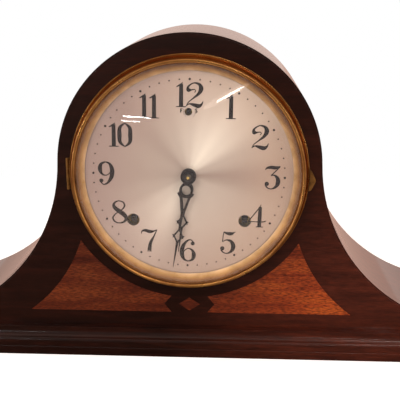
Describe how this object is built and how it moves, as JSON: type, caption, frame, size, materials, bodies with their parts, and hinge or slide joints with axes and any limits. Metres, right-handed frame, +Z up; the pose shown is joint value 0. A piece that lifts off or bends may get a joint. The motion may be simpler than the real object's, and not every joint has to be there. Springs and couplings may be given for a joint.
{
  "type": "tambour mantel clock",
  "caption": "Tambour mantel clock: low arched wooden case with inlays on a moulded base, hinged domed-glass bezel, dial and hands, striking movement with pendulum and gong behind a rear door.",
  "frame": {"origin": "middle of the underside of the base", "axes": "+X to the right seen from the front, -Y to the front, +Z up"},
  "size_m": [0.492, 0.127, 0.228],
  "materials": {
    "mahogany_lacquer": "deep red-brown, almost black, high gloss lacquer",
    "flame_veneer": "orange-red figured mahogany veneer, gloss lacquer",
    "inner_wood": "dark stained plywood and softwood, dull",
    "bezel_brass": "golden polished brass, lacquered",
    "sight_brass": "pale cream-gold satin ring",
    "movement_brass": "plain rolled clock brass",
    "silvered_dial": "silvered metal dial with a warm radial sheen",
    "glass": "clear domed glass",
    "blued_steel": "black-blue hands",
    "steel": "bright and grey steel arbors, screws and levers",
    "spring_steel": "blue-grey spring strip",
    "gong_iron": "black painted gong stand"
  },
  "bodies": {
    "case": {"front_board": "mahogany_lacquer", "flame_inlays": "flame_veneer", "case_wrap": "mahogany_lacquer", "back_board": "inner_wood", "base_board": "mahogany_lacquer", "glue_blocks": "inner_wood", "door_hinge_case_leaves": "bezel_brass", "bezel_hinge_plate": "bezel_brass", "dial_pan": "silvered_dial", "dial_plate": "silvered_dial", "dial_screws": "bezel_brass", "front_plate": "movement_brass", "back_plate": "movement_brass", "pillars": "movement_brass", "pillar_nuts": "steel", "movement_screws": "steel", "time_mainspring": "spring_steel", "strike_mainspring": "spring_steel", "gong_stand": "gong_iron", "gong_coil": "spring_steel"},
    "bezel": {"bezel_ring": "bezel_brass", "bezel_glass": "glass", "sight_ring": "sight_brass", "bezel_pull": "bezel_brass", "bezel_hinge_knuckle": "bezel_brass"},
    "rear_door": {"back_door": "inner_wood", "door_knob": "bezel_brass", "door_hinge_door_leaves": "bezel_brass"},
    "turn_button": {"door_button": "bezel_brass"},
    "minute_work": {"minute_hand": "blued_steel", "hand_nut": "bezel_brass", "cannon_pinion": "movement_brass"},
    "hour_work": {"hour_hand": "blued_steel", "hour_wheel": "movement_brass"},
    "motion_wheel": {"minute_wheel": "movement_brass"},
    "time_great": {"time_great_wheel": "movement_brass"},
    "time_winder": {"time_winding_arbor": "steel"},
    "time_pawl": {"time_click": "steel"},
    "second": {"second_wheel": "movement_brass"},
    "centre": {"centre_wheel": "movement_brass"},
    "third": {"third_wheel": "movement_brass"},
    "escape": {"escape_wheel": "movement_brass"},
    "verge": {"verge_and_crutch": "steel"},
    "carriage": {"suspension_carriage": "movement_brass"},
    "pendulum": {"pendulum_rod": "steel"},
    "bob": {"pendulum_bob": "movement_brass"},
    "nut": {"rating_nut": "movement_brass"},
    "regulator": {"regulator_arbor": "steel"},
    "strike_great": {"strike_great_wheel": "movement_brass"},
    "strike_winder": {"strike_winding_arbor": "steel"},
    "strike_pawl": {"strike_click": "steel"},
    "strike_second": {"strike_second_wheel": "movement_brass"},
    "cam": {"cam_wheel": "movement_brass"},
    "warning": {"warning_wheel": "movement_brass"},
    "fly_vane": {"fly": "movement_brass"},
    "count": {"count_wheel": "movement_brass"},
    "locking": {"count_lever": "steel"},
    "lifting": {"lifting_lever": "steel"},
    "hammer_arm": {"hammer": "steel"}
  },
  "joints": [
    {"name": "bezel_swing", "type": "hinge", "parent": "case", "child": "bezel", "pos_m": [-0.08295, -0.0493, 0.133], "axis": [0, 0, -1], "range_deg": [0, 110]},
    {"name": "rear_door_swing", "type": "hinge", "parent": "case", "child": "rear_door", "pos_m": [0.0746, 0.0536, 0.086], "axis": [0, 0, -1], "range_deg": [0, 110]},
    {"name": "button_turn", "type": "hinge", "parent": "case", "child": "turn_button", "pos_m": [-0.082, 0.0523, 0.105], "axis": [0, 1, 0], "range_deg": [0, 90]},
    {"name": "minute_turn", "type": "hinge", "parent": "case", "child": "minute_work", "pos_m": [0, -0.053, 0.133], "axis": [0, 1, 0], "continuous": true},
    {"name": "hour_turn", "type": "hinge", "parent": "case", "child": "hour_work", "pos_m": [0, -0.051, 0.133], "axis": [0, 1, 0], "continuous": true},
    {"name": "motion_wheel_turn", "type": "hinge", "parent": "case", "child": "motion_wheel", "pos_m": [0.00849, -0.041, 0.12451], "axis": [0, 1, 0], "continuous": true},
    {"name": "time_great_turn", "type": "hinge", "parent": "case", "child": "time_great", "pos_m": [0.0385, -0.0335, 0.101], "axis": [0, 1, 0], "continuous": true},
    {"name": "time_wind", "type": "hinge", "parent": "time_great", "child": "time_winder", "pos_m": [0.0385, -0.0165, 0.101], "axis": [0, 1, 0], "range_deg": [0, 2880]},
    {"name": "time_click_lift", "type": "hinge", "parent": "time_great", "child": "time_pawl", "pos_m": [0.02771, -0.0325, 0.10711], "axis": [0, 1, 0], "range_deg": [0, 12], "stiffness_Nm_per_rad": 0.0004},
    {"name": "second_turn", "type": "hinge", "parent": "case", "child": "second", "pos_m": [0.01218, -0.0165, 0.11589], "axis": [0, 1, 0], "continuous": true},
    {"name": "centre_turn", "type": "hinge", "parent": "case", "child": "centre", "pos_m": [0, -0.0165, 0.133], "axis": [0, 1, 0], "continuous": true},
    {"name": "third_turn", "type": "hinge", "parent": "case", "child": "third", "pos_m": [0.01586, -0.0165, 0.1441], "axis": [0, 1, 0], "continuous": true},
    {"name": "escape_turn", "type": "hinge", "parent": "case", "child": "escape", "pos_m": [0, -0.0165, 0.15303], "axis": [0, 1, 0], "continuous": true},
    {"name": "pendulum_swing", "type": "hinge", "parent": "carriage", "child": "pendulum", "pos_m": [0, 0.02, 0.166], "axis": [0, 1, 0], "range_deg": [-3, 3]},
    {"name": "verge_rock", "type": "hinge", "parent": "case", "child": "verge", "pos_m": [0, 0.008, 0.166], "axis": [0, 1, 0], "range_deg": [-3, 3]},
    {"name": "carriage_slide", "type": "slide", "parent": "case", "child": "carriage", "axis": [0, 0, 1], "range_m": [-0.0011, 0.0011]},
    {"name": "regulator_turn", "type": "hinge", "parent": "case", "child": "regulator", "pos_m": [0, 0.02, 0.1764], "axis": [0, 1, 0], "range_deg": [-28, 28]},
    {"name": "bob_slide", "type": "slide", "parent": "pendulum", "child": "bob", "axis": [0, 0, 1], "range_m": [-0.003, 0.002]},
    {"name": "nut_turn", "type": "hinge", "parent": "bob", "child": "nut", "pos_m": [0, 0.02, 0.0365], "axis": [0, 0, 1], "range_deg": [-1440, 2160]},
    {"name": "strike_great_turn", "type": "hinge", "parent": "case", "child": "strike_great", "pos_m": [-0.0385, -0.0335, 0.101], "axis": [0, 1, 0], "continuous": true},
    {"name": "strike_wind", "type": "hinge", "parent": "strike_great", "child": "strike_winder", "pos_m": [-0.0385, -0.0165, 0.101], "axis": [0, 1, 0], "range_deg": [0, 2880]},
    {"name": "strike_click_lift", "type": "hinge", "parent": "strike_great", "child": "strike_pawl", "pos_m": [-0.04116, -0.0325, 0.11311], "axis": [0, 1, 0], "range_deg": [0, 12], "stiffness_Nm_per_rad": 0.0004},
    {"name": "strike_second_turn", "type": "hinge", "parent": "case", "child": "strike_second", "pos_m": [-0.04499, -0.0165, 0.13053], "axis": [0, 1, 0], "continuous": true},
    {"name": "cam_turn", "type": "hinge", "parent": "case", "child": "cam", "pos_m": [-0.036, -0.0165, 0.14731], "axis": [0, 1, 0], "continuous": true},
    {"name": "warning_turn", "type": "hinge", "parent": "case", "child": "warning", "pos_m": [-0.02399, -0.0165, 0.1579], "axis": [0, 1, 0], "continuous": true},
    {"name": "fly_turn", "type": "hinge", "parent": "case", "child": "fly_vane", "pos_m": [-0.02999, -0.0165, 0.16898], "axis": [0, 1, 0], "continuous": true},
    {"name": "count_turn", "type": "hinge", "parent": "case", "child": "count", "pos_m": [-0.03799, 0.007, 0.11841], "axis": [0, 1, 0], "continuous": true},
    {"name": "locking_lift", "type": "hinge", "parent": "case", "child": "locking", "pos_m": [-0.009, -0.0165, 0.107], "axis": [0, 1, 0], "range_deg": [0, 8]},
    {"name": "lifting_lift", "type": "hinge", "parent": "case", "child": "lifting", "pos_m": [-0.024, -0.0165, 0.129], "axis": [0, 1, 0], "range_deg": [-8, 0]},
    {"name": "hammer_lift", "type": "hinge", "parent": "case", "child": "hammer_arm", "pos_m": [-0.0125, -0.0165, 0.091], "axis": [0, 1, 0], "range_deg": [0, 9], "stiffness_Nm_per_rad": 0.003}
  ],
  "couplings": [
    {"joint": "hour_turn", "follows": "minute_turn", "ratio": 0.083333},
    {"joint": "motion_wheel_turn", "follows": "minute_turn", "ratio": -0.33333},
    {"joint": "time_great_turn", "follows": "minute_turn", "ratio": 0.041667},
    {"joint": "second_turn", "follows": "minute_turn", "ratio": -0.25},
    {"joint": "centre_turn", "follows": "minute_turn", "ratio": 1},
    {"joint": "third_turn", "follows": "minute_turn", "ratio": -10},
    {"joint": "escape_turn", "follows": "minute_turn", "ratio": 120},
    {"joint": "verge_rock", "follows": "pendulum_swing", "ratio": 1},
    {"joint": "regulator_turn", "follows": "carriage_slide", "rad_per_m": 416.67},
    {"joint": "nut_turn", "follows": "bob_slide", "rad_per_m": -12566},
    {"joint": "strike_great_turn", "follows": "cam_turn", "ratio": 0.022222},
    {"joint": "strike_second_turn", "follows": "cam_turn", "ratio": -0.13333},
    {"joint": "warning_turn", "follows": "cam_turn", "ratio": -7},
    {"joint": "fly_turn", "follows": "cam_turn", "ratio": 42},
    {"joint": "count_turn", "follows": "cam_turn", "ratio": 0.022222}
  ]
}
